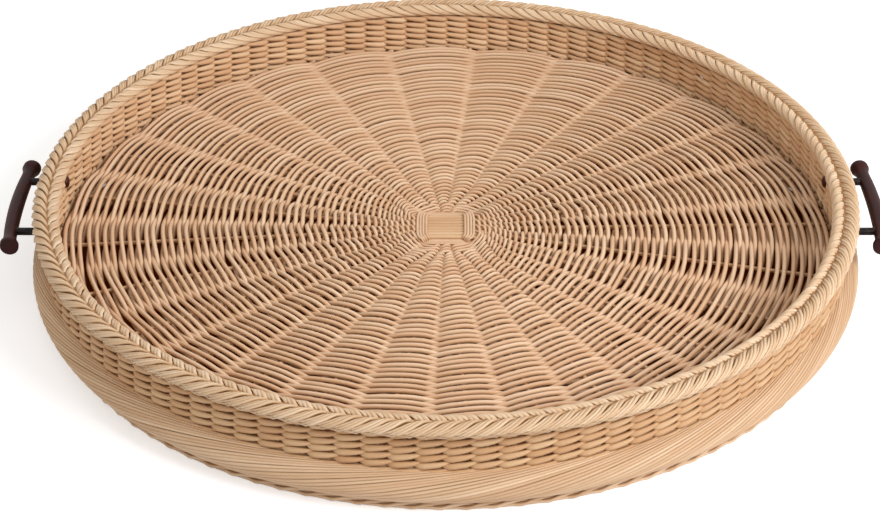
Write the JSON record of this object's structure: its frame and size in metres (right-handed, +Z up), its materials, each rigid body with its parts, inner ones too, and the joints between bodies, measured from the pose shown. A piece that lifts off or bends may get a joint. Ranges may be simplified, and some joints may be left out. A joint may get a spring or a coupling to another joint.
{
  "type": "round woven serving tray",
  "caption": "Round shallow rattan tray with a twined floor on a fanned cross of sticks, a woven wall, a plaited rim, a rolled foot and bolted bow grips.",
  "frame": {"origin": "on the ground under the centre of the tray", "axes": "+Z up, X through the two grips, Y across them"},
  "size_m": [0.7, 0.662, 0.0786],
  "materials": {
    "base_stick": "split cane, smooth and flat",
    "floor_cane": "round cane core, matt with a faint sheen",
    "wall_cane": "round cane core, matt",
    "rim_cane": "round cane core, pale and matt",
    "foot_cane": "round cane core laid side by side, matt",
    "grip_wood": "dark stained, satin",
    "dark_bronze": "dark bronze, satin"
  },
  "bodies": {
    "root": {"upper_base_stick_1": "base_stick", "upper_base_stick_2": "base_stick", "upper_base_stick_3": "base_stick", "upper_base_stick_4": "base_stick", "upper_base_stick_5": "base_stick", "upper_base_stick_6": "base_stick", "upper_base_stick_7": "base_stick", "upper_base_stick_8": "base_stick", "lower_base_stick_1": "base_stick", "lower_base_stick_2": "base_stick", "lower_base_stick_3": "base_stick", "lower_base_stick_4": "base_stick", "lower_base_stick_5": "base_stick", "lower_base_stick_6": "base_stick", "slath_binding": "floor_cane", "base_weave_centre": "floor_cane", "base_weave_field": "floor_cane", "wall_weave": "wall_cane", "rim_braid": "rim_cane", "foot_roll_and_stakes": "foot_cane", "foot_wale": "foot_cane", "right_grip": "grip_wood", "right_rear_post": "dark_bronze", "right_rear_bolt": "dark_bronze", "right_front_post": "dark_bronze", "right_front_bolt": "dark_bronze", "left_grip": "grip_wood", "left_rear_post": "dark_bronze", "left_rear_bolt": "dark_bronze", "left_front_post": "dark_bronze", "left_front_bolt": "dark_bronze"}
  },
  "joints": []
}
